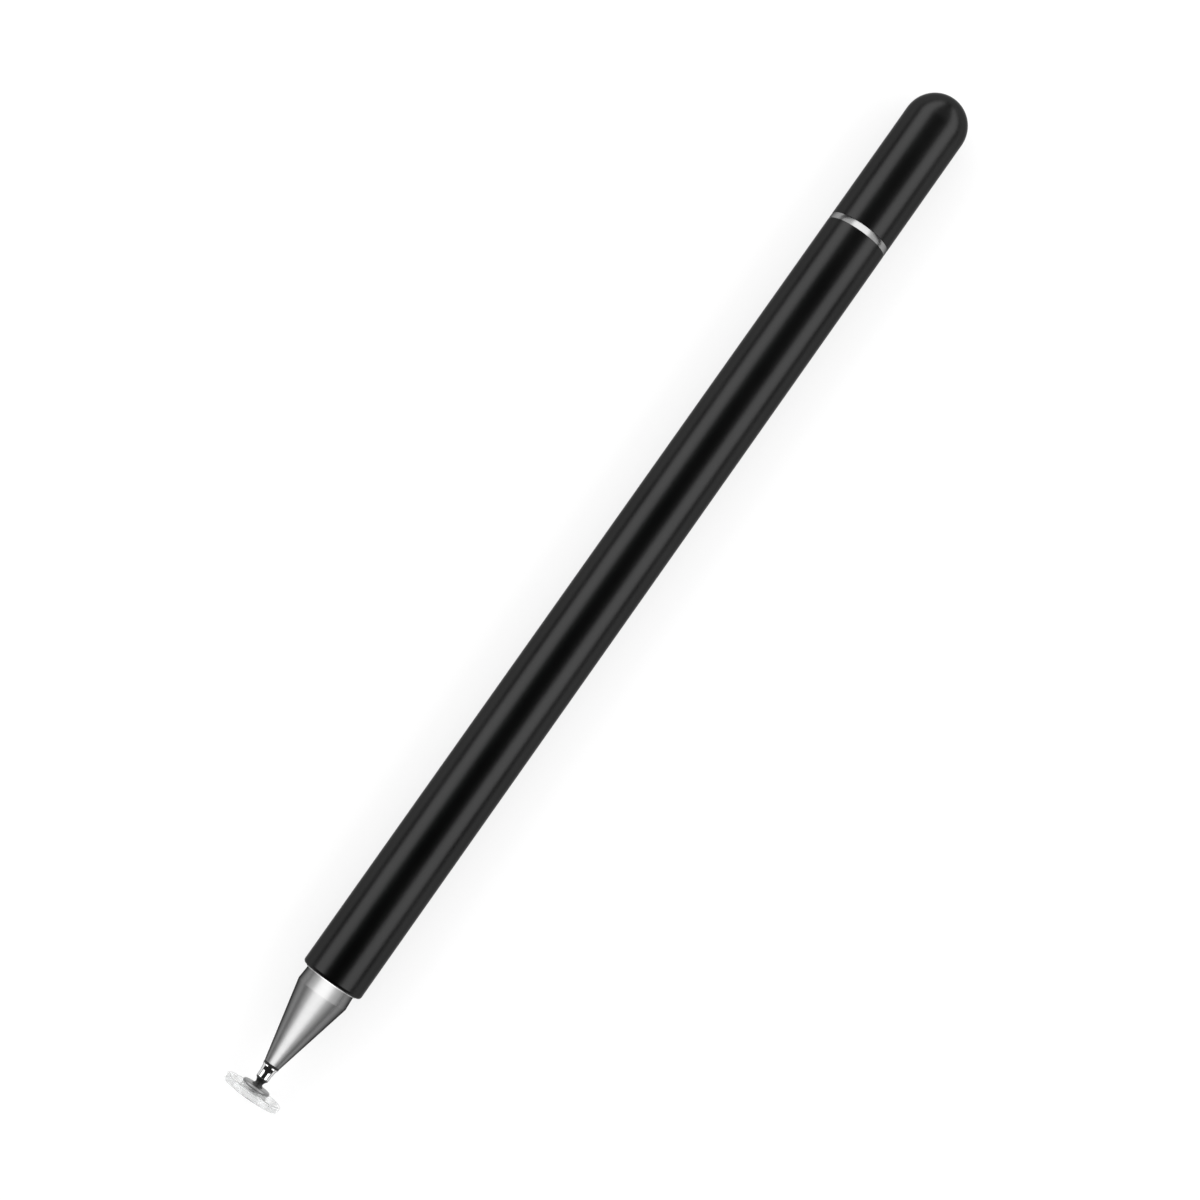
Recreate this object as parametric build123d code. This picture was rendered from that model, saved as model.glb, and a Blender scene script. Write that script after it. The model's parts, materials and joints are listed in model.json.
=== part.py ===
from build123d import *
import os
from math import cos, radians, sin, sqrt, tan

# A stylus pen: a drawn aluminium barrel with a turned nose cone, a plug-in tip cartridge whose clear disc
# tilts on a ball, and a cap that a magnet holds on the tail.
#
# The pen lies along X on the plane Z = 0, with its tip towards -X and its cap towards +X, and the origin is
# under the middle of its length. Every piece is turned about the pen's axis. Stations are measured along that
# axis from the disc's contact face. All lengths are in millimetres.

# Fits
GLUE_GAP = 0.02
RUNNING_GAP = 0.03
SLIDING_GAP = 0.03
CAP_GAP = 0.05
GRIP_GAP = 0.015
BEAD_GAP = 0.08

# Barrel: a straight tube, open at both ends
BARREL_DIAMETER = 9.2
BARREL_LENGTH = 123.25
BARREL_WALL = 0.9
BARREL_FRONT_ROUND = 0.45
BARREL_REAR_ROUND = 0.08

# Nose cone: a taper, a short straight collar, a thin flange on the barrel's end and a shank in its bore
CONE_TAPER_LENGTH = 11.32
CONE_MOUTH_WALL = 0.26
CONE_MOUTH_ROUND = 0.05
CONE_SHOULDER_RISE = 0.13
CONE_SHOULDER_ROUND = 0.3
CONE_COLLAR_LENGTH = 1.97
CONE_COLLAR_STEP = 0.22
CONE_FLANGE_LAP = 0.2
CONE_FLANGE_THICKNESS = 0.16
CONE_SHANK_LENGTH = 9.0
CONE_SHANK_CHAMFER = 0.4
CONE_HOLE_END_GAP = 0.5
DRILL_POINT_ANGLE = 118.0

# Contact disc: clear, flat in front, with a round recess in its back for the ball
DISC_DIAMETER = 8.5
DISC_THICKNESS = 1.0
DISC_EDGE_ROUND = 0.22

# Bond pad and hub plate: the plate is glued to the back of the disc and keeps the ball in
PAD_INSET = 0.1
PAD_THICKNESS = 0.13
PLATE_DIAMETER = 4.1
PLATE_THICKNESS = 0.52
PLATE_EDGE_ROUND = 0.2

# Ball stem: a ball, a waist, a flare that covers the tube's mouth and a shank that turns in the tube
BALL_DIAMETER = 1.8
BALL_DEPTH = 0.38
NECK_LENGTH = 1.2
NECK_WAIST_DIAMETER = 1.1
STEM_FLARE_INSET = 0.02
STEM_LIP_THICKNESS = 0.12
STEM_SHANK_LENGTH = 3.0
STEM_GROOVE_STATION = 1.5
STEM_GROOVE_WIDTH = 0.6
STEM_GROOVE_DEPTH = 0.2
STEM_END_CHAMFER = 0.15

# Tip tube: carries the stem in front and the tail plug behind, with a rolled bead in the stem's groove
TUBE_DIAMETER = 1.82
TUBE_WALL = 0.2
TUBE_NOSE_LENGTH = 0.91
TUBE_INSERT_LENGTH = 9.6
TUBE_EDGE_ROUND = 0.06

# Tip collar: a flared ferrule with a thin flange, pressed on the tube as its stop
COLLAR_FLARE_LENGTH = 0.75
COLLAR_FRONT_WALL = 0.04
COLLAR_REAR_WALL = 0.13
COLLAR_FLANGE_WALL = 0.2
COLLAR_FLANGE_THICKNESS = 0.21

# Seal washer: between the collar's flange and the cone's mouth
SEAL_WALL = 0.25
SEAL_THICKNESS = 0.33

# Tip tail: a conductive rubber plug that grips the cone's hole
TAIL_BASE_LENGTH = 0.5
TAIL_TAPER_LENGTH = 0.6
TAIL_END_LENGTH = 0.9
TAIL_END_STEP = 0.225
TAIL_RIB_COUNT = 3
TAIL_RIB_WIDTH = 0.12
TAIL_RIB_HEIGHT = 0.06
TAIL_SHANK_LENGTH = 2.0
TAIL_EDGE_CHAMFER = 0.1

# Trim ring: a crowned bright ring between the barrel and the cap
RING_WIDTH = 0.9
RING_CROWN = 0.04

# Tail plug and keeper: the plug stands out of the barrel as the cap's spigot, with a steel disc in its end
PLUG_INSERT_LENGTH = 8.0
PLUG_SPIGOT_LENGTH = 4.2
PLUG_CHAMFER = 0.3
KEEPER_DIAMETER = 5.0
KEEPER_THICKNESS = 1.5
KEEPER_EDGE_ROUND = 0.1

# Cap: a domed shell, a liner that slides on the spigot and a magnet in the liner's floor
CAP_LENGTH = 22.8
CAP_WALL = 0.5
CAP_EDGE_ROUND = 0.08
LINER_WALL = 0.35
LINER_RECESS = 0.4
LINER_FLOOR = 0.8
LINER_LEAD_CHAMFER = 0.2
MAGNET_DIAMETER = 5.0
MAGNET_THICKNESS = 2.0
MAGNET_EDGE_ROUND = 0.1
MAGNET_GAP = 0.2

# Radii that several pieces share
barrel_radius = BARREL_DIAMETER / 2
bore_radius = barrel_radius - BARREL_WALL
shank_radius = bore_radius - GLUE_GAP
flange_radius = bore_radius + CONE_FLANGE_LAP
collar_radius = flange_radius - CONE_COLLAR_STEP
shoulder_radius = collar_radius + CONE_SHOULDER_RISE
ball_radius = BALL_DIAMETER / 2
seat_radius = ball_radius + RUNNING_GAP
tube_radius = TUBE_DIAMETER / 2
tube_bore_radius = tube_radius - TUBE_WALL
sleeve_radius = tube_radius + GLUE_GAP
stem_radius = tube_bore_radius - RUNNING_GAP
groove_radius = stem_radius - STEM_GROOVE_DEPTH
hole_radius = tube_radius + SLIDING_GAP
mouth_radius = hole_radius + CONE_MOUTH_WALL
plate_radius = PLATE_DIAMETER / 2
liner_radius = barrel_radius - CAP_WALL - GLUE_GAP
socket_radius = liner_radius - LINER_WALL
spigot_radius = socket_radius - CAP_GAP

# Stations along the axis, from the contact face to the end of the cap
disc_back = DISC_THICKNESS
plate_front = disc_back + PAD_THICKNESS
plate_back = plate_front + PLATE_THICKNESS
ball_centre = plate_back - BALL_DEPTH
tube_front = plate_back + NECK_LENGTH
groove_start = tube_front + STEM_GROOVE_STATION
groove_end = groove_start + STEM_GROOVE_WIDTH
collar_front = tube_front + TUBE_NOSE_LENGTH
flange_front = collar_front + COLLAR_FLARE_LENGTH
flange_back = flange_front + COLLAR_FLANGE_THICKNESS
cone_mouth = flange_back + SEAL_THICKNESS
cone_shoulder = cone_mouth + CONE_TAPER_LENGTH
collar_end = cone_shoulder + CONE_COLLAR_LENGTH
barrel_front = collar_end + CONE_FLANGE_THICKNESS
cone_rear = barrel_front + CONE_SHANK_LENGTH
tube_rear = cone_mouth + TUBE_INSERT_LENGTH
tail_taper_start = tube_rear + TAIL_BASE_LENGTH
tail_taper_end = tail_taper_start + TAIL_TAPER_LENGTH
tail_end = tail_taper_end + TAIL_END_LENGTH
hole_end = tail_end + CONE_HOLE_END_GAP
barrel_rear = barrel_front + BARREL_LENGTH
plug_front = barrel_rear - PLUG_INSERT_LENGTH
cap_front = barrel_rear + RING_WIDTH
spigot_end = cap_front + PLUG_SPIGOT_LENGTH
keeper_front = spigot_end - KEEPER_THICKNESS
liner_front = cap_front + LINER_RECESS
magnet_front = spigot_end + MAGNET_GAP
magnet_back = magnet_front + MAGNET_THICKNESS
liner_back = magnet_back + LINER_FLOOR
cap_end = cap_front + CAP_LENGTH
dome_start = cap_end - barrel_radius


def turned(corners):
    """A solid turned about the pen's axis, from (station, radius, rounding) corners."""
    points = [(station, radius) for station, radius, rounding in corners]
    roundings = [rounding for station, radius, rounding in corners]
    return turned_from(FilletPolyline(*points, radius=roundings, close=True))


def turned_from(outline):
    """A solid turned about the pen's axis, from a closed outline of lines and arcs."""
    return revolve(make_face(outline), Axis.X)


def arc_of_ball(radius, first, last):
    """The arc of a round surface about the ball's centre, between two stations, bulging from the axis."""
    middle = (first + last) / 2
    ends = [(station, ball_section(radius, station)) for station in (first, middle, last)]
    return ThreePointArc(*ends)


def ball_section(radius, station):
    """The radius of a round surface about the ball's centre, at a station."""
    return sqrt(max(radius**2 - (station - ball_centre) ** 2, 0))


def barrel():
    return turned(
        [
            (barrel_front, bore_radius, 0),
            (barrel_front, barrel_radius, BARREL_FRONT_ROUND),
            (barrel_rear, barrel_radius, BARREL_REAR_ROUND),
            (barrel_rear, bore_radius, 0),
        ]
    )


def nose_cone():
    drill_point = hole_radius / tan(radians(DRILL_POINT_ANGLE / 2))
    return turned(
        [
            (cone_mouth, hole_radius, 0),
            (cone_mouth, mouth_radius, CONE_MOUTH_ROUND),
            (cone_shoulder, shoulder_radius, CONE_SHOULDER_ROUND),
            (collar_end, collar_radius, 0),
            (collar_end, flange_radius, 0),
            (barrel_front, flange_radius, 0),
            (barrel_front, shank_radius, 0),
            (cone_rear - CONE_SHANK_CHAMFER, shank_radius, 0),
            (cone_rear, shank_radius - CONE_SHANK_CHAMFER, 0),
            (cone_rear, 0, 0),
            (hole_end + drill_point, 0, 0),
            (hole_end, hole_radius, 0),
        ]
    )


def contact_disc():
    rim_radius = DISC_DIAMETER / 2
    recess_bottom = ball_centre - seat_radius
    rim = FilletPolyline(
        (recess_bottom, 0),
        (0, 0),
        (0, rim_radius),
        (disc_back, rim_radius),
        (disc_back, ball_section(seat_radius, disc_back)),
        radius=[0, DISC_EDGE_ROUND, DISC_EDGE_ROUND],
    )
    return turned_from(rim + arc_of_ball(seat_radius, disc_back, recess_bottom))


def bond_pad():
    hole = seat_radius + GLUE_GAP
    pad_radius = plate_radius - PAD_INSET
    return turned(
        [
            (disc_back, hole, 0),
            (disc_back, pad_radius, 0),
            (plate_front, pad_radius, 0),
            (plate_front, hole, 0),
        ]
    )


def hub_plate():
    rim = FilletPolyline(
        (plate_front, ball_section(seat_radius, plate_front)),
        (plate_front, plate_radius),
        (plate_back, plate_radius),
        (plate_back, ball_section(seat_radius, plate_back)),
        radius=PLATE_EDGE_ROUND,
    )
    return turned_from(rim + arc_of_ball(seat_radius, plate_back, plate_front))


def ball_stem():
    waist = NECK_WAIST_DIAMETER / 2
    flare = tube_radius - STEM_FLARE_INSET
    ball_front = ball_centre - ball_radius
    neck_start = ball_centre + sqrt(ball_radius**2 - waist**2)
    lip_back = tube_front - RUNNING_GAP
    lip_front = lip_back - STEM_LIP_THICKNESS
    shank_end = tube_front + STEM_SHANK_LENGTH
    ball = arc_of_ball(ball_radius, ball_front, neck_start)
    neck = TangentArc((neck_start, waist), (lip_front, flare), tangent=(1, 0))
    shank = Polyline(
        (lip_front, flare),
        (lip_back, flare),
        (lip_back, stem_radius),
        (groove_start, stem_radius),
        (groove_start, groove_radius),
        (groove_end, groove_radius),
        (groove_end, stem_radius),
        (shank_end - STEM_END_CHAMFER, stem_radius),
        (shank_end, stem_radius - STEM_END_CHAMFER),
        (shank_end, 0),
        (ball_front, 0),
    )
    return turned_from(ball + neck + shank)


def tip_tube():
    bead_start = groove_start + BEAD_GAP
    bead_end = groove_end - BEAD_GAP
    bead_radius = groove_radius + BEAD_GAP
    return turned(
        [
            (tube_front, tube_bore_radius, 0),
            (tube_front, tube_radius, TUBE_EDGE_ROUND),
            (tube_rear, tube_radius, TUBE_EDGE_ROUND),
            (tube_rear, tube_bore_radius, 0),
            (bead_end, tube_bore_radius, 0),
            (bead_end, bead_radius, 0),
            (bead_start, bead_radius, 0),
            (bead_start, tube_bore_radius, 0),
        ]
    )


def tip_collar():
    flange = sleeve_radius + COLLAR_FLANGE_WALL
    lip = (collar_front, sleeve_radius + COLLAR_FRONT_WALL)
    root = (flange_front, sleeve_radius + COLLAR_REAR_WALL)
    flare = TangentArc(lip, root, tangent=(1, 0))
    sides = Polyline(
        root,
        (flange_front, flange),
        (flange_back, flange),
        (flange_back, sleeve_radius),
        (collar_front, sleeve_radius),
        lip,
    )
    return turned_from(flare + sides)


def seal_washer():
    return turned(
        [
            (flange_back, sleeve_radius, 0),
            (flange_back, sleeve_radius + SEAL_WALL, 0),
            (cone_mouth, sleeve_radius + SEAL_WALL, 0),
            (cone_mouth, sleeve_radius, 0),
        ]
    )


def tip_tail():
    grip = hole_radius - GRIP_GAP
    end = grip - TAIL_END_STEP
    plug = tube_bore_radius - GLUE_GAP
    plug_start = tube_rear - TAIL_SHANK_LENGTH
    tail = turned(
        [
            (plug_start, 0, 0),
            (plug_start, plug - TAIL_EDGE_CHAMFER, 0),
            (plug_start + TAIL_EDGE_CHAMFER, plug, 0),
            (tube_rear, plug, 0),
            (tube_rear, grip, 0),
            (tail_taper_start, grip, 0),
            (tail_taper_end, end, 0),
            (tail_end - TAIL_EDGE_CHAMFER, end, 0),
            (tail_end, end - TAIL_EDGE_CHAMFER, 0),
            (tail_end, 0, 0),
        ]
    )
    pitch = TAIL_END_LENGTH / (TAIL_RIB_COUNT + 1)
    for number in range(1, TAIL_RIB_COUNT + 1):
        start = tail_taper_end + number * pitch - TAIL_RIB_WIDTH / 2
        tail += turned(
            [
                (start, 0, 0),
                (start, end + TAIL_RIB_HEIGHT, 0),
                (start + TAIL_RIB_WIDTH, end + TAIL_RIB_HEIGHT, 0),
                (start + TAIL_RIB_WIDTH, 0, 0),
            ]
        )
    return tail


def tail_ring():
    edge = barrel_radius - RING_CROWN
    middle = (barrel_rear + cap_front) / 2
    hole = spigot_radius + GLUE_GAP
    crown = ThreePointArc((barrel_rear, edge), (middle, barrel_radius), (cap_front, edge))
    sides = Polyline((cap_front, edge), (cap_front, hole), (barrel_rear, hole), (barrel_rear, edge))
    return turned_from(crown + sides)


def tail_plug():
    pocket = KEEPER_DIAMETER / 2 + GLUE_GAP
    insert = turned(
        [
            (plug_front, 0, 0),
            (plug_front, shank_radius - PLUG_CHAMFER, 0),
            (plug_front + PLUG_CHAMFER, shank_radius, 0),
            (barrel_rear, shank_radius, 0),
            (barrel_rear, 0, 0),
        ]
    )
    spigot = turned(
        [
            (barrel_rear, 0, 0),
            (barrel_rear, spigot_radius, 0),
            (spigot_end - PLUG_CHAMFER, spigot_radius, 0),
            (spigot_end, spigot_radius - PLUG_CHAMFER, 0),
            (spigot_end, pocket, 0),
            (keeper_front, pocket, 0),
            (keeper_front, 0, 0),
        ]
    )
    return insert + spigot


def tail_keeper():
    return turned(
        [
            (keeper_front, 0, 0),
            (keeper_front, KEEPER_DIAMETER / 2, KEEPER_EDGE_ROUND),
            (spigot_end, KEEPER_DIAMETER / 2, KEEPER_EDGE_ROUND),
            (spigot_end, 0, 0),
        ]
    )


def cap_shell():
    inner = barrel_radius - CAP_WALL
    outside = FilletPolyline(
        (cap_front, inner),
        (cap_front, barrel_radius),
        (dome_start, barrel_radius),
        radius=CAP_EDGE_ROUND,
    )
    dome = quarter_round(barrel_radius)
    lining = quarter_round(inner)
    crown = Line((dome_start + barrel_radius, 0), (dome_start + inner, 0))
    inside = Line((dome_start, inner), (cap_front, inner))
    return turned_from(outside + dome + crown + lining + inside)


def quarter_round(radius):
    """A quarter circle about the dome's centre, from the straight wall to the axis."""
    half_way = radians(45)
    middle = (dome_start + radius * sin(half_way), radius * cos(half_way))
    return ThreePointArc((dome_start, radius), middle, (dome_start + radius, 0))


def cap_liner():
    pocket = MAGNET_DIAMETER / 2 + GLUE_GAP
    return turned(
        [
            (liner_front, socket_radius + LINER_LEAD_CHAMFER, 0),
            (liner_front, liner_radius, 0),
            (liner_back, liner_radius, 0),
            (liner_back, 0, 0),
            (magnet_back, 0, 0),
            (magnet_back, pocket, 0),
            (magnet_front, pocket, 0),
            (magnet_front, socket_radius, 0),
            (liner_front + LINER_LEAD_CHAMFER, socket_radius, 0),
        ]
    )


def cap_magnet():
    return turned(
        [
            (magnet_front, 0, 0),
            (magnet_front, MAGNET_DIAMETER / 2, MAGNET_EDGE_ROUND),
            (magnet_back, MAGNET_DIAMETER / 2, MAGNET_EDGE_ROUND),
            (magnet_back, 0, 0),
        ]
    )


def main():
    lie_down = Pos(-cap_end / 2, 0, barrel_radius)
    pieces = [
        barrel,
        nose_cone,
        tail_plug,
        tail_keeper,
        tail_ring,
        cap_shell,
        cap_liner,
        cap_magnet,
        tip_tube,
        tip_collar,
        seal_washer,
        tip_tail,
        ball_stem,
        hub_plate,
        bond_pad,
        contact_disc,
    ]
    os.makedirs("parts", exist_ok=True)
    for piece in pieces:
        export_step(lie_down * piece(), f"parts/{piece.__name__}.step")
    print(f"length {cap_end:.3f}, ball centre {ball_centre - cap_end / 2:.3f}, height {barrel_radius:.3f}")
    print(f"barrel from {barrel_front - cap_end / 2:.3f} to {barrel_rear - cap_end / 2:.3f}")


main()
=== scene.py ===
import json
import math

import bmesh
import bpy
from mathutils import Matrix, Vector


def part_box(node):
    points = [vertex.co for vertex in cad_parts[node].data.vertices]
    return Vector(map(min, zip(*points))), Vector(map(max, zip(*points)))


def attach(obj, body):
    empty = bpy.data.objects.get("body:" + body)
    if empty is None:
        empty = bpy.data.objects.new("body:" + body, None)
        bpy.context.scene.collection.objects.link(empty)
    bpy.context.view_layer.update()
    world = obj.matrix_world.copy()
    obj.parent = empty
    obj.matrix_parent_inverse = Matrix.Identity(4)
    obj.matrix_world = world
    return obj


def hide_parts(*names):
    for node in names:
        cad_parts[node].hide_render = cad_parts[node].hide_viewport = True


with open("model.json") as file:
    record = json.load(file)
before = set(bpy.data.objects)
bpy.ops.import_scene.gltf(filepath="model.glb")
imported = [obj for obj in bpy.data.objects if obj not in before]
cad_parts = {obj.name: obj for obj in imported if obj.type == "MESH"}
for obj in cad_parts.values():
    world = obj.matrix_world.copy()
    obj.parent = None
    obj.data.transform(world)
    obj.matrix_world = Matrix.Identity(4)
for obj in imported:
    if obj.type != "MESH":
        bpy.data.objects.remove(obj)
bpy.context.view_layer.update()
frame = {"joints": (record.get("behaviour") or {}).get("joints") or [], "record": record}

# The pen's axis and the ball's centre, from the joint that tilts the disc
tilt_joint = next(joint for joint in frame["joints"] if joint["name"] == "disc_tilt")
BALL_X, _, AXIS_Z = tilt_joint["pos_m"]

# Fits, in metres as all lengths here
GLUE_GAP = 0.00002
RUNNING_GAP = 0.00003
SLIDING_GAP = 0.00003
BEAD_GAP = 0.00008

# Rounds, walls and steps that the nodes' boxes don't give
BARREL_WALL = 0.0009
BARREL_FRONT_ROUND = 0.00045
BARREL_REAR_ROUND = 0.00008
CONE_MOUTH_WALL = 0.00026
CONE_MOUTH_ROUND = 0.00005
CONE_TAPER_LENGTH = 0.01132
CONE_SHOULDER_RISE = 0.00013
CONE_SHOULDER_ROUND = 0.0003
CONE_COLLAR_STEP = 0.00022
CONE_FLANGE_THICKNESS = 0.00016
CONE_SHANK_CHAMFER = 0.0004
CONE_HOLE_END_GAP = 0.0005
CONE_DRILL_POINT = 0.00056
DISC_EDGE_ROUND = 0.00022
PLATE_EDGE_ROUND = 0.0002
BALL_RADIUS = 0.0009
NECK_WAIST_RADIUS = 0.00055
STEM_FLARE_INSET = 0.00002
STEM_LIP_THICKNESS = 0.00012
STEM_GROOVE_STATION = 0.0015
STEM_GROOVE_WIDTH = 0.0006
STEM_GROOVE_DEPTH = 0.0002
STEM_END_CHAMFER = 0.00015
TUBE_WALL = 0.0002
TUBE_EDGE_ROUND = 0.00006
COLLAR_FRONT_WALL = 0.00004
COLLAR_REAR_WALL = 0.00013
COLLAR_FLANGE_THICKNESS = 0.00021
COLLAR_EDGE_ROUND = 0.00003
TAIL_BASE_LENGTH = 0.0005
TAIL_TAPER_LENGTH = 0.0006
TAIL_END_STEP = 0.000225
TAIL_RIB_COUNT = 3
TAIL_RIB_WIDTH = 0.00012
TAIL_RIB_HEIGHT = 0.00006
TAIL_EDGE_CHAMFER = 0.0001
RING_CROWN = 0.00004
PLUG_CHAMFER = 0.0003
KEEPER_EDGE_ROUND = 0.0001
CAP_WALL = 0.0005
CAP_EDGE_ROUND = 0.00008
LINER_WALL = 0.00035
LINER_LEAD_CHAMFER = 0.0002
MAGNET_EDGE_ROUND = 0.0001
SEAL_EDGE_ROUND = 0.00005
PAD_EDGE_ROUND = 0.00004

# How finely a turned piece is divided
LARGE_TURN = 192
SMALL_TURN = 112
ROUND_STEPS = 6
DOME_STEPS = 24
BALL_STEPS = 24
SUPPORT = 0.00003
ON_AXIS = 0.000001
SHARP_ANGLE = math.radians(28)

# The camera, and the place of the pen in the picture
PICTURE_SIZE = 1200
SENSOR_WIDTH = 36.0
CAMERA_DISTANCE = 0.36
CAMERA_LEAN = math.radians(5.0)
PIXELS_PER_METRE = 7400.0
PEN_SLOPE = math.radians(54.78)
TARGET_X = -0.00202

# The studio: strips draw the streaks along the dark pieces, and softboxes overhead light the bright ones
LAMP_DISTANCE = 1.5
STRIP_ANGLE = math.radians(54)
STRIP_START = -0.4
STRIP_END = 8.0
STRIP_WIDTH = 1.1
STRIP_RADIANCE = 1.9
TOP_START = -1.8
TOP_END = 1.3
TOP_WIDTH = 2.0
TOP_ASIDE = 0.16
TOP_RADIANCE = 1.35
WIDE_START = -1.0
WIDE_END = 0.7
WIDE_HEIGHT = 0.8
WIDE_WIDTH = 7.5
WIDE_RADIANCE = 0.85
TAIL_ANGLE = math.radians(48)
TAIL_LENGTH = 1.4
TAIL_WIDTH = 1.4
TAIL_RADIANCE = 0.28
WORLD_LEVEL = 0.02
POWER_TO_RADIANCE = 4.0
GLOW_SHARE = 0.7
FLOOR_HALF = 6.0


class Value:
    """A socket in a finish's node tree that takes part in Python expressions."""

    def __init__(self, finish, socket):
        self.finish = finish
        self.socket = socket

    def math(self, operation, first, second=0.0):
        return self.finish.node("Math", {"operation": operation}, {0: first, 1: second})

    def __add__(self, other):
        return self.math("ADD", self, other)

    def __mul__(self, other):
        return self.math("MULTIPLY", self, other)

    def __pow__(self, other):
        return self.math("POWER", self, other)

    def __lt__(self, other):
        return self.math("LESS_THAN", self, other)

    def __gt__(self, other):
        return self.math("GREATER_THAN", self, other)

    def either(self, other):
        return self.math("MAXIMUM", self, other)

    __radd__ = __add__
    __rmul__ = __mul__


class Finish:
    """A material whose shader is written as expressions on the piece's own coordinates."""

    def __init__(self, name):
        self.material = bpy.data.materials.new(name)
        self.material.use_nodes = True
        self.tree = self.material.node_tree
        self.tree.nodes.clear()

    def node(self, kind, settings=None, sockets=None, output=0):
        """A new node of a kind, its settings first and then its sockets' values or links."""
        made = self.tree.nodes.new("ShaderNode" + kind)
        for name, setting in (settings or {}).items():
            setattr(made, name, setting)
        for name, value in (sockets or {}).items():
            if isinstance(value, Value):
                self.tree.links.new(value.socket, made.inputs[name])
            else:
                made.inputs[name].default_value = value
        return Value(self, made.outputs[output]) if made.outputs else None

    def place(self):
        """The point on the piece, in the pen's frame."""
        return self.node("TexCoord", output="Object")

    def along(self):
        """The distance along the pen's axis."""
        return self.node("SeparateXYZ", {}, {0: self.place()}, "X")

    def from_axis(self):
        """The distance from the pen's axis."""
        flat = self.node("VectorMath", {"operation": "MULTIPLY"}, {0: self.place(), 1: (0.0, 1.0, 1.0)})
        return self.node("VectorMath", {"operation": "DISTANCE"}, {0: flat, 1: (0.0, 0.0, AXIS_Z)}, "Value")

    def grain(self, size, detail=2.0, stretch=(1.0, 1.0, 1.0)):
        """Noise with features of a size, stretched along the axes."""
        scaled = self.node("VectorMath", {"operation": "MULTIPLY"}, {0: self.place(), 1: stretch})
        return self.node("TexNoise", {}, {"Vector": scaled, "Scale": 1 / size, "Detail": detail}, "Fac")

    def rings(self, distance, size, detail=3.0):
        """Noise that depends on one distance alone, as tool marks do."""
        sockets = {"W": distance, "Scale": 1 / size, "Detail": detail}
        return self.node("TexNoise", {"noise_dimensions": "1D"}, sockets, "Fac")

    def between(self, factor, low, high):
        """A number that goes from low to high with a factor."""
        return low + factor * (high - low)

    def colours(self, factor, low, high):
        """A colour that goes from low to high with a factor."""
        sockets = {0: factor, 6: opaque(low), 7: opaque(high)}
        return self.node("Mix", {"data_type": "RGBA"}, sockets, 2)

    def bump(self, height, depth):
        """A surface relief of a real depth."""
        return self.node("Bump", {}, {"Height": height, "Distance": depth, "Strength": 1.0})

    def shader(self, **sockets):
        """The main shader, with its sockets named in words."""
        named = {}
        for name, value in sockets.items():
            named[name.replace("_", " ").title().replace("Ior", "IOR")] = value
        return self.node("BsdfPrincipled", {}, named)

    def show(self, shader):
        """The finished material, with a shader on its surface."""
        self.node("OutputMaterial", {}, {"Surface": shader})
        return self.material

    def surface(self, **sockets):
        """The finished material, with the main shader alone."""
        return self.show(self.shader(**sockets))


def grey(level):
    return (level, level, level)


def opaque(colour):
    return (*colour, 1.0)


def black_anodised():
    """Blasted and anodised aluminium: a dark metal with a very fine even grain."""
    finish = Finish("black_anodised")
    patches = finish.grain(size=0.009, detail=3.0)
    pits = finish.grain(size=0.00012, detail=1.0)
    return finish.surface(
        base_color=finish.colours(patches, grey(0.028), grey(0.036)),
        metallic=1.0,
        roughness=finish.between(patches, low=0.27, high=0.34),
        specular_tint=opaque(grey(0.5)),
        normal=finish.bump(pits, depth=0.0000015),
    )


def turned_aluminium():
    """Aluminium with fine tool marks round it, under a grey-tinted coat that paints shade over it, deepest
    on its rims and weaker on the flange.
    """
    finish = Finish("turned_aluminium")
    flange = span("barrel")[0] - CONE_FLANGE_THICKNESS
    # Painted rim shade: full on the cone's taper, weaker on its flange
    painted_rim_shade = finish.along() < flange - SUPPORT
    marks = finish.rings(finish.along(), size=0.00007)
    bands = finish.rings(finish.along(), size=0.0011)
    return finish.surface(
        base_color=finish.colours(bands, grey(0.9), grey(0.96)),
        metallic=1.0,
        roughness=finish.between(marks, low=0.3, high=0.42),
        # The near-black edge tint and the grey coat tint paint shade, deepest on the rims
        specular_tint=opaque(grey(0.05)),
        coat_weight=finish.between(painted_rim_shade, low=0.65, high=1.0),
        coat_roughness=0.3,
        coat_ior=1.02,
        coat_tint=opaque(grey(0.4)),
        normal=finish.bump(marks, depth=0.0000008),
    )


def bright_chrome():
    """Polished plating with hair-fine handling marks."""
    finish = Finish("bright_chrome")
    haze = finish.grain(size=0.0012, detail=4.0)
    hairs = finish.grain(size=0.00005, detail=2.0, stretch=(1.0, 0.1, 0.1))
    return finish.surface(
        base_color=finish.colours(haze, grey(0.66), grey(0.74)),
        metallic=1.0,
        roughness=finish.between(haze, low=0.07, high=0.16),
        # The dark edge tint paints shade on the rims, where the pale floor would be mirrored
        specular_tint=opaque(grey(0.15)),
        normal=finish.bump(hairs, depth=0.0000003),
    )


def smoked_chrome():
    """Satin plating polished round the axis, painted dark: a shaded copy of the chrome for a ring under
    brighter lamps.
    """
    finish = Finish("smoked_chrome")
    lines = finish.rings(finish.along(), size=0.00005)
    haze = finish.grain(size=0.0012, detail=4.0)
    return finish.surface(
        # The dark base and dark edge tint are painted shade, set against the brighter lamps on this ring
        base_color=finish.colours(haze, grey(0.28), grey(0.33)),
        metallic=1.0,
        roughness=finish.between(lines, low=0.2, high=0.3),
        specular_tint=opaque(grey(0.2)),
        normal=finish.bump(lines, depth=0.0000005),
    )


def grey_plate():
    """Satin steel with a faced finish: fine rings about the axis."""
    finish = Finish("grey_plate")
    marks = finish.rings(finish.from_axis(), size=0.00004)
    stains = finish.grain(size=0.0006, detail=3.0)
    return finish.surface(
        base_color=finish.colours(stains, grey(0.2), grey(0.26)),
        metallic=1.0,
        roughness=finish.between(marks, low=0.34, high=0.48),
        normal=finish.bump(marks, depth=0.000001),
    )


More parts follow.
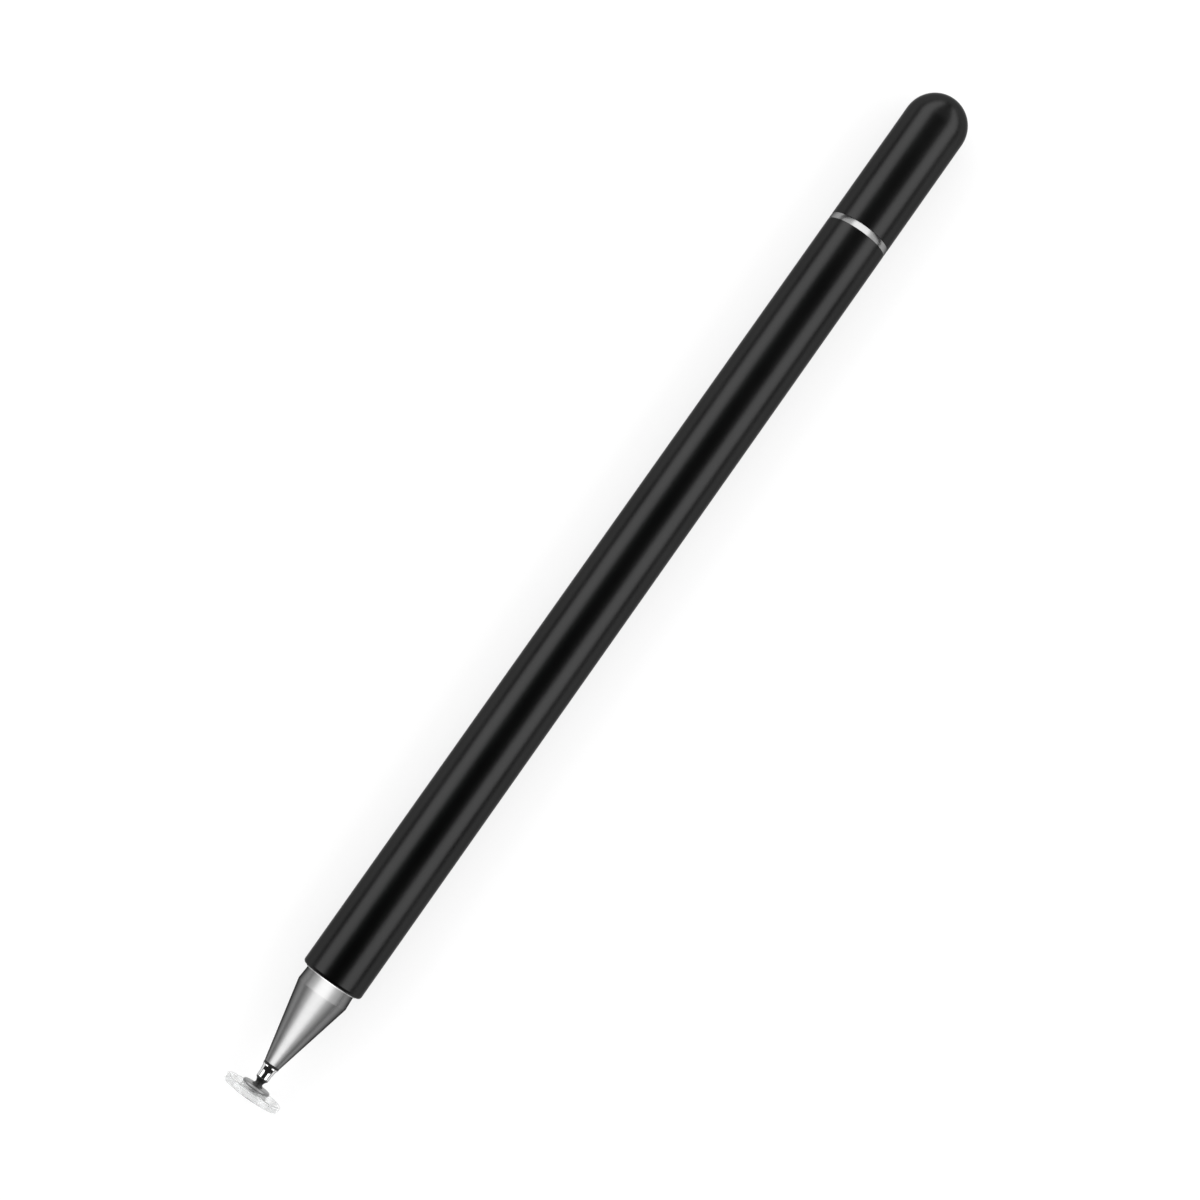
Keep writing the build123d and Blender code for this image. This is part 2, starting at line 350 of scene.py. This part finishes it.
def black_moulding():
    """Black moulded plastic with a fine spark-eroded grain."""
    finish = Finish("black_moulding")
    skin = finish.grain(size=0.00009, detail=2.0)
    flow = finish.grain(size=0.0016, detail=3.0)
    return finish.surface(
        base_color=finish.colours(flow, grey(0.009), grey(0.016)),
        roughness=finish.between(flow, low=0.34, high=0.46),
        normal=finish.bump(skin, depth=0.000002),
    )


def black_rubber():
    """Carbon-filled rubber: matte, with paler dust in its pores."""
    finish = Finish("black_rubber")
    pores = finish.grain(size=0.00006, detail=2.0)
    dust = finish.grain(size=0.0004, detail=4.0)
    return finish.surface(
        base_color=finish.colours(dust**3.0, grey(0.012), grey(0.05)),
        roughness=finish.between(dust, low=0.62, high=0.8),
        normal=finish.bump(pores, depth=0.000004),
    )


def nickel_plate():
    """Nickel on steel, faintly warm, with a soft orange-peel skin."""
    finish = Finish("nickel_plate")
    peel = finish.grain(size=0.0003, detail=2.0)
    return finish.surface(
        base_color=finish.colours(peel, (0.52, 0.5, 0.46), (0.6, 0.58, 0.54)),
        metallic=1.0,
        roughness=finish.between(peel, low=0.18, high=0.3),
        normal=finish.bump(peel, depth=0.000002),
    )


def clear_plastic():
    """Clear moulded plastic, its polish softened by faint wear rings from use."""
    finish = Finish("clear_plastic")
    wear = finish.rings(finish.from_axis(), size=0.00012)
    swirl = finish.grain(size=0.0007, detail=3.0)
    return finish.surface(
        base_color=finish.colours(swirl, (0.79, 0.805, 0.805), (0.82, 0.83, 0.83)),
        roughness=finish.between(wear, low=0.13, high=0.2),
        transmission_weight=1.0,
        ior=1.49,
        alpha=finish.between(swirl, low=0.74, high=0.8),
    )


def clear_adhesive():
    """A clear adhesive film, a little hazy with trapped air."""
    finish = Finish("clear_adhesive")
    air = finish.grain(size=0.00025, detail=3.0)
    return finish.surface(
        base_color=finish.colours(air, grey(0.86), grey(0.94)),
        roughness=finish.between(air, low=0.15, high=0.4),
        transmission_weight=0.85,
        ior=1.47,
        alpha=finish.between(air, low=0.2, high=0.4),
    )


def span(node):
    """The first and last place of a turned node along the axis, and its largest radius."""
    low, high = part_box(node)
    radius = max(high.y, -low.y, high.z - AXIS_Z, AXIS_Z - low.z)
    return low.x, high.x, radius


def arc(centre, radius, start, end, steps=ROUND_STEPS):
    """Corners along an arc about a place on the axis, from one angle to another."""
    angles = [start + (end - start) * step / steps for step in range(steps + 1)]
    return [(centre + radius * math.cos(angle), radius * math.sin(angle), 0) for angle in angles]


def rounded(corners):
    """The outline's points, with each rounded corner as an arc."""
    points = []
    for number, (x, r, rounding) in enumerate(corners):
        corner = Vector((x, r))
        if not rounding:
            points.append(corner)
            continue
        before = (Vector(corners[number - 1][:2]) - corner).normalized()
        after = (Vector(corners[(number + 1) % len(corners)][:2]) - corner).normalized()
        half_angle = before.angle(after) / 2
        centre = corner + (before + after).normalized() * rounding / math.sin(half_angle)
        reach = rounding / math.tan(half_angle)
        first = corner + before * reach - centre
        last = corner + after * reach - centre
        turn = math.pi - 2 * half_angle
        for step in range(ROUND_STEPS + 1):
            share = step / ROUND_STEPS
            spoke = first * math.sin((1 - share) * turn) + last * math.sin(share * turn)
            points.append(centre + spoke / math.sin(turn))
    return points


def supported(points):
    """The outline with a point beside each end of its straight runs, so that shading stays true."""
    made = []
    for point, following in zip(points, points[1:] + points[:1]):
        made.append(point)
        run = following - point
        on_axis = max(point.y, following.y) < ON_AXIS
        if run.length > 4 * SUPPORT and not on_axis:
            step = run.normalized() * SUPPORT
            made += [point + step, following - step]
    return made


def turned_mesh(name, corners, segments):
    """A closed mesh turned about the pen's axis, from (place, radius, rounding) corners."""
    made = bmesh.new()
    rings = []
    for x, r in supported(rounded(corners)):
        spokes = [2 * math.pi * step / segments for step in range(segments if r > ON_AXIS else 1)]
        ring = [made.verts.new((x, r * math.cos(a), AXIS_Z + r * math.sin(a))) for a in spokes]
        rings.append(ring if len(ring) > 1 else ring * segments)
    for ring, following in zip(rings, rings[1:] + rings[:1]):
        for step in range(segments):
            after = (step + 1) % segments
            face = dict.fromkeys([ring[step], ring[after], following[after], following[step]])
            if len(face) > 2:
                made.faces.new(face)
    bmesh.ops.recalc_face_normals(made, faces=made.faces)
    mesh = bpy.data.meshes.new(name)
    made.to_mesh(mesh)
    made.free()
    mesh.shade_smooth()
    mesh.set_sharp_from_angle(angle=SHARP_ANGLE)
    return mesh


def turned(node, corners, material, segments=SMALL_TURN):
    """A turned piece that stands for a node, moves with its body and wears the material given."""
    piece = bpy.data.objects.new(node + "_piece", turned_mesh(node + "_mesh", corners, segments))
    piece.data.materials.append(material)
    bpy.context.scene.collection.objects.link(piece)
    record = frame["record"]
    bodies = record["behaviour"]["bodies"]
    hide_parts(node)
    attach(piece, next(body for body, nodes in bodies.items() if node in nodes))
    return piece


def barrel(material):
    front, rear, radius = span("barrel")
    bore = radius - BARREL_WALL
    corners = [
        (front, bore, 0),
        (front, radius, BARREL_FRONT_ROUND),
        (rear, radius, BARREL_REAR_ROUND),
        (rear, bore, 0),
    ]
    return turned("barrel", corners, material, LARGE_TURN)


def nose_cone(material):
    mouth, rear, flange = span("nose_cone")
    seat = span("barrel")[0]
    tail_end = span("tip_tail")[1]
    hole = span("tip_tube")[2] + SLIDING_GAP
    shank = span("tail_plug")[2]
    collar = flange - CONE_COLLAR_STEP
    hole_end = tail_end + CONE_HOLE_END_GAP
    corners = [
        (mouth, hole, 0),
        (mouth, hole + CONE_MOUTH_WALL, CONE_MOUTH_ROUND),
        (mouth + CONE_TAPER_LENGTH, collar + CONE_SHOULDER_RISE, CONE_SHOULDER_ROUND),
        (seat - CONE_FLANGE_THICKNESS, collar, 0),
        (seat - CONE_FLANGE_THICKNESS, flange, 0),
        (seat, flange, 0),
        (seat, shank, 0),
        (rear - CONE_SHANK_CHAMFER, shank, 0),
        (rear, shank - CONE_SHANK_CHAMFER, 0),
        (rear, 0, 0),
        (hole_end + CONE_DRILL_POINT, 0, 0),
        (hole_end, hole, 0),
    ]
    return turned("nose_cone", corners, material, LARGE_TURN)


def tail_plug(material):
    front, rear, radius = span("tail_plug")
    keeper_front, _, keeper = span("tail_keeper")
    pocket = keeper + GLUE_GAP
    corners = [
        (front, 0, 0),
        (front, radius - PLUG_CHAMFER, 0),
        (front + PLUG_CHAMFER, radius, 0),
        (rear - PLUG_CHAMFER, radius, 0),
        (rear, radius - PLUG_CHAMFER, 0),
        (rear, pocket, 0),
        (keeper_front, pocket, 0),
        (keeper_front, 0, 0),
    ]
    return turned("tail_plug", corners, material)


def edged_disc(node, edge_round, material):
    """A plain disc with rounded edges, such as a magnet."""
    front, rear, radius = span(node)
    corners = [
        (front, 0, 0),
        (front, radius, edge_round),
        (rear, radius, edge_round),
        (rear, 0, 0),
    ]
    return turned(node, corners, material)


def tail_ring(material):
    front, rear, radius = span("tail_ring")
    hole = span("tail_plug")[2] + GLUE_GAP
    half = (rear - front) / 2
    middle = front + half
    crown_radius = (half**2 + RING_CROWN**2) / (2 * RING_CROWN)
    lean = math.asin(half / crown_radius)
    crown = []
    for step in range(2 * ROUND_STEPS + 1):
        angle = lean * (step / ROUND_STEPS - 1)
        drop = crown_radius * (1 - math.cos(angle))
        crown.append((middle + crown_radius * math.sin(angle), radius - drop, 0))
    corners = [(front, hole, 0), *crown, (rear, hole, 0)]
    return turned("tail_ring", corners, material, LARGE_TURN)


def cap_shell(material):
    front, end, radius = span("cap_shell")
    inner = radius - CAP_WALL
    dome = end - radius
    corners = [
        (front, inner, 0),
        (front, radius, CAP_EDGE_ROUND),
        *arc(dome, radius, math.pi / 2, 0, DOME_STEPS),
        *arc(dome, inner, 0, math.pi / 2, DOME_STEPS),
    ]
    return turned("cap_shell", corners, material, LARGE_TURN)


def cap_liner(material):
    front, rear, radius = span("cap_liner")
    magnet_front, magnet_rear, magnet = span("cap_magnet")
    socket = radius - LINER_WALL
    pocket = magnet + GLUE_GAP
    corners = [
        (front, socket + LINER_LEAD_CHAMFER, 0),
        (front, radius, 0),
        (rear, radius, 0),
        (rear, 0, 0),
        (magnet_rear, 0, 0),
        (magnet_rear, pocket, 0),
        (magnet_front, pocket, 0),
        (magnet_front, socket, 0),
        (front + LINER_LEAD_CHAMFER, socket, 0),
    ]
    return turned("cap_liner", corners, material)


def tip_tube(material):
    front, rear, radius = span("tip_tube")
    bore = radius - TUBE_WALL
    groove = front + STEM_GROOVE_STATION
    bead_start = groove + BEAD_GAP
    bead_end = groove + STEM_GROOVE_WIDTH - BEAD_GAP
    bead = bore - RUNNING_GAP - STEM_GROOVE_DEPTH + BEAD_GAP
    corners = [
        (front, bore, 0),
        (front, radius, TUBE_EDGE_ROUND),
        (rear, radius, TUBE_EDGE_ROUND),
        (rear, bore, 0),
        (bead_end, bore, 0),
        (bead_end, bead, 0),
        (bead_start, bead, 0),
        (bead_start, bore, 0),
    ]
    return turned("tip_tube", corners, material)


def tip_collar(material):
    front, rear, flange = span("tip_collar")
    sleeve = span("tip_tube")[2] + GLUE_GAP
    flange_front = rear - COLLAR_FLANGE_THICKNESS
    corners = [
        (front, sleeve, 0),
        (front, sleeve + COLLAR_FRONT_WALL, 0),
        *trumpet(front, sleeve + COLLAR_FRONT_WALL, flange_front, sleeve + COLLAR_REAR_WALL),
        (flange_front, flange, COLLAR_EDGE_ROUND),
        (rear, flange, COLLAR_EDGE_ROUND),
        (rear, sleeve, 0),
    ]
    return turned("tip_collar", corners, material)


def seal_washer(material):
    front, rear, radius = span("seal_washer")
    sleeve = span("tip_tube")[2] + GLUE_GAP
    corners = [
        (front, sleeve, 0),
        (front, radius, SEAL_EDGE_ROUND),
        (rear, radius, SEAL_EDGE_ROUND),
        (rear, sleeve, 0),
    ]
    return turned("seal_washer", corners, material)


def tip_tail(material):
    front, rear, grip = span("tip_tail")
    tube_rear = span("tip_tube")[1]
    plug = span("tip_tube")[2] - TUBE_WALL - GLUE_GAP
    taper = tube_rear + TAIL_BASE_LENGTH
    end = grip - TAIL_END_STEP
    straight = taper + TAIL_TAPER_LENGTH
    pitch = (rear - straight) / (TAIL_RIB_COUNT + 1)
    ribs = []
    for number in range(1, TAIL_RIB_COUNT + 1):
        rib = straight + number * pitch - TAIL_RIB_WIDTH / 2
        ribs += [
            (rib, end, 0),
            (rib, end + TAIL_RIB_HEIGHT, 0),
            (rib + TAIL_RIB_WIDTH, end + TAIL_RIB_HEIGHT, 0),
            (rib + TAIL_RIB_WIDTH, end, 0),
        ]
    corners = [
        (front, 0, 0),
        (front, plug - TAIL_EDGE_CHAMFER, 0),
        (front + TAIL_EDGE_CHAMFER, plug, 0),
        (tube_rear, plug, 0),
        (tube_rear, grip, 0),
        (taper, grip, 0),
        (straight, end, 0),
        *ribs,
        (rear - TAIL_EDGE_CHAMFER, end, 0),
        (rear, end - TAIL_EDGE_CHAMFER, 0),
        (rear, 0, 0),
    ]
    return turned("tip_tail", corners, material)


def ball_stem(material):
    _, rear, _ = span("ball_stem")
    tube_front, _, tube = span("tip_tube")
    stem = tube - TUBE_WALL - RUNNING_GAP
    flare = tube - STEM_FLARE_INSET
    lip_rear = tube_front - RUNNING_GAP
    lip_front = lip_rear - STEM_LIP_THICKNESS
    groove_front = tube_front + STEM_GROOVE_STATION
    groove_rear = groove_front + STEM_GROOVE_WIDTH
    groove = stem - STEM_GROOVE_DEPTH
    neck_angle = math.asin(NECK_WAIST_RADIUS / BALL_RADIUS)
    neck = BALL_X + BALL_RADIUS * math.cos(neck_angle)
    corners = [
        *arc(BALL_X, BALL_RADIUS, math.pi, neck_angle, BALL_STEPS),
        *trumpet(neck, NECK_WAIST_RADIUS, lip_front, flare),
        (lip_rear, flare, 0),
        (lip_rear, stem, 0),
        (groove_front, stem, 0),
        (groove_front, groove, 0),
        (groove_rear, groove, 0),
        (groove_rear, stem, 0),
        (rear - STEM_END_CHAMFER, stem, 0),
        (rear, stem - STEM_END_CHAMFER, 0),
        (rear, 0, 0),
    ]
    return turned("ball_stem", corners, material)


def trumpet(x, r, end_x, end_r):
    """Corners of a hollow curve that leaves a waist along the axis and flares to its end."""
    length = end_x - x
    rise = end_r - r
    curve_radius = (length**2 + rise**2) / (2 * rise)
    sweep = 2 * math.atan2(rise, length)
    angles = [sweep * step / DOME_STEPS for step in range(1, DOME_STEPS + 1)]
    return [(x + curve_radius * math.sin(a), r + curve_radius * (1 - math.cos(a)), 0) for a in angles]


def seat_arc(first_x, last_x):
    """Corners along the ball's round seat between two places on the axis."""
    seat = BALL_RADIUS + RUNNING_GAP
    start = math.acos((first_x - BALL_X) / seat)
    end = math.acos(max((last_x - BALL_X) / seat, -1))
    return arc(BALL_X, seat, start, end, BALL_STEPS)


def hub_plate(material):
    front, rear, radius = span("hub_plate")
    corners = [
        *seat_arc(rear, front),
        (front, radius, PLATE_EDGE_ROUND),
        (rear, radius, PLATE_EDGE_ROUND),
    ]
    return turned("hub_plate", corners, material)


def bond_pad(material):
    front, rear, radius = span("bond_pad")
    hole = BALL_RADIUS + RUNNING_GAP + GLUE_GAP
    corners = [
        (front, hole, 0),
        (front, radius, PAD_EDGE_ROUND),
        (rear, radius, PAD_EDGE_ROUND),
        (rear, hole, 0),
    ]
    return turned("bond_pad", corners, material)


def contact_disc(material):
    front, rear, radius = span("contact_disc")
    recess_bottom = BALL_X - BALL_RADIUS - RUNNING_GAP
    corners = [
        (front, 0, 0),
        (front, radius, DISC_EDGE_ROUND),
        (rear, radius, DISC_EDGE_ROUND),
        *seat_arc(rear, recess_bottom),
    ]
    return turned("contact_disc", corners, material, LARGE_TURN)


def softbox(name, place, length, width, radiance):
    """A rectangular lamp of an even radiance that faces the pen, with its length along the pen."""
    lamp = bpy.data.lights.new(name, "AREA")
    lamp.shape = "RECTANGLE"
    lamp.size = length
    lamp.size_y = width
    lamp.energy = POWER_TO_RADIANCE * radiance * length * width
    made = bpy.data.objects.new(name, lamp)
    made.location = place
    made.visible_camera = False
    bpy.context.scene.collection.objects.link(made)
    return made


def lit_pieces(lamp, pieces, state):
    """Keeps a lamp's light to some pieces, as a snoot does, or off them, as a flag does."""
    chosen = bpy.data.collections.new(lamp.name + "_pieces")
    for piece in pieces:
        chosen.objects.link(piece)
    for entry in chosen.collection_objects:
        entry.light_linking.link_state = state
    lamp.light_linking.receiver_collection = chosen


def studio(bright_pieces, dark_pieces):
    """Softboxes over a pale floor in a dim room."""
    strip_middle = (STRIP_START + STRIP_END) / 2
    for side in (-1, 1):
        aside = LAMP_DISTANCE * math.sin(STRIP_ANGLE) * side
        place = (strip_middle, aside, LAMP_DISTANCE * math.cos(STRIP_ANGLE))
        name = "strip_left" if side > 0 else "strip_right"
        strip = softbox(name, place, STRIP_END - STRIP_START, STRIP_WIDTH, STRIP_RADIANCE)
        strip.rotation_euler = (-side * STRIP_ANGLE, 0, 0)
        lit_pieces(strip, bright_pieces, "EXCLUDE")
    top_place = ((TOP_START + TOP_END) / 2, TOP_ASIDE, LAMP_DISTANCE)
    top = softbox("top_panel", top_place, TOP_END - TOP_START, TOP_WIDTH, TOP_RADIANCE)
    lit_pieces(top, bright_pieces, "INCLUDE")
    wide_place = ((WIDE_START + WIDE_END) / 2, TOP_ASIDE, WIDE_HEIGHT)
    wide = softbox("wide_panel", wide_place, WIDE_END - WIDE_START, WIDE_WIDTH, WIDE_RADIANCE)
    lit_pieces(wide, dark_pieces, "EXCLUDE")
    tail_place = (LAMP_DISTANCE * math.sin(TAIL_ANGLE), 0, LAMP_DISTANCE * math.cos(TAIL_ANGLE))
    tail = softbox("tail_panel", tail_place, TAIL_LENGTH, TAIL_WIDTH, TAIL_RADIANCE)
    tail.rotation_euler = (0, TAIL_ANGLE, 0)
    lit_pieces(tail, bright_pieces, "EXCLUDE")
    world = bpy.data.worlds.new("dim_room")
    world.use_nodes = True
    world.node_tree.nodes["Background"].inputs["Color"].default_value = opaque(grey(WORLD_LEVEL))
    bpy.context.scene.world = world


def pale_paper():
    """A matt white sheet with a faint tooth, which glows a little where it is seen or mirrored."""
    finish = Finish("pale_paper")
    tooth = finish.grain(size=0.0006, detail=2.0)
    sheet = finish.shader(
        base_color=finish.colours(tooth, grey(0.84), grey(0.87)),
        roughness=finish.between(tooth, low=0.85, high=0.95),
        specular_ior_level=0.1,
    )
    glow = finish.node("Emission", {}, {"Color": opaque(grey(1.0)), "Strength": 1.0})
    seen = finish.node("LightPath", output="Is Camera Ray")
    mirrored = finish.node("LightPath", output="Is Glossy Ray")
    through = finish.node("LightPath", output="Is Transmission Ray")
    shown = seen.either(mirrored).either(through)
    return finish.show(finish.node("MixShader", {}, {0: shown * GLOW_SHARE, 1: sheet, 2: glow}))


def floor():
    mesh = bpy.data.meshes.new("floor")
    corners = [(-1, -1), (1, -1), (1, 1), (-1, 1)]
    mesh.from_pydata([(x * FLOOR_HALF, y * FLOOR_HALF, 0) for x, y in corners], [], [range(len(corners))])
    mesh.materials.append(pale_paper())
    sheet = bpy.data.objects.new("floor", mesh)
    bpy.context.scene.collection.objects.link(sheet)


def camera():
    """Above the pen, a little towards its tip, turned so that the pen slopes as in the picture."""
    target = Vector((TARGET_X, 0, AXIS_Z))
    back = Vector((-math.sin(CAMERA_LEAN), 0, math.cos(CAMERA_LEAN)))
    along = Vector((math.cos(CAMERA_LEAN), 0, math.sin(CAMERA_LEAN)))
    across = back.cross(along)
    right = along * math.cos(PEN_SLOPE) - across * math.sin(PEN_SLOPE)
    upward = back.cross(right)
    data = bpy.data.cameras.new("camera")
    data.sensor_width = SENSOR_WIDTH
    data.lens = SENSOR_WIDTH * PIXELS_PER_METRE * CAMERA_DISTANCE / PICTURE_SIZE
    made = bpy.data.objects.new("camera", data)
    axes = Matrix((right, upward, back)).transposed().to_4x4()
    made.matrix_world = Matrix.Translation(target + back * CAMERA_DISTANCE) @ axes
    bpy.context.scene.collection.objects.link(made)
    bpy.context.scene.camera = made


def pen():
    """Makes all the pieces, and gives back those that the studio lights apart: bright ones and dark ones."""
    anodised = black_anodised()
    chrome = bright_chrome()
    moulding = black_moulding()
    rubber = black_rubber()
    nickel = nickel_plate()
    bright_pieces = [
        nose_cone(turned_aluminium()),
        tail_ring(smoked_chrome()),
    ]
    dark_pieces = [
        barrel(anodised),
        cap_shell(anodised),
        tip_tube(chrome),
        tip_collar(chrome),
        ball_stem(moulding),
        seal_washer(rubber),
    ]
    tail_plug(moulding)
    edged_disc("tail_keeper", KEEPER_EDGE_ROUND, nickel)
    cap_liner(moulding)
    edged_disc("cap_magnet", MAGNET_EDGE_ROUND, nickel)
    tip_tail(rubber)
    hub_plate(grey_plate())
    bond_pad(clear_adhesive())
    contact_disc(clear_plastic())
    return bright_pieces, dark_pieces


studio(*pen())
floor()
camera()
bpy.context.scene.view_settings.view_transform = "Standard"
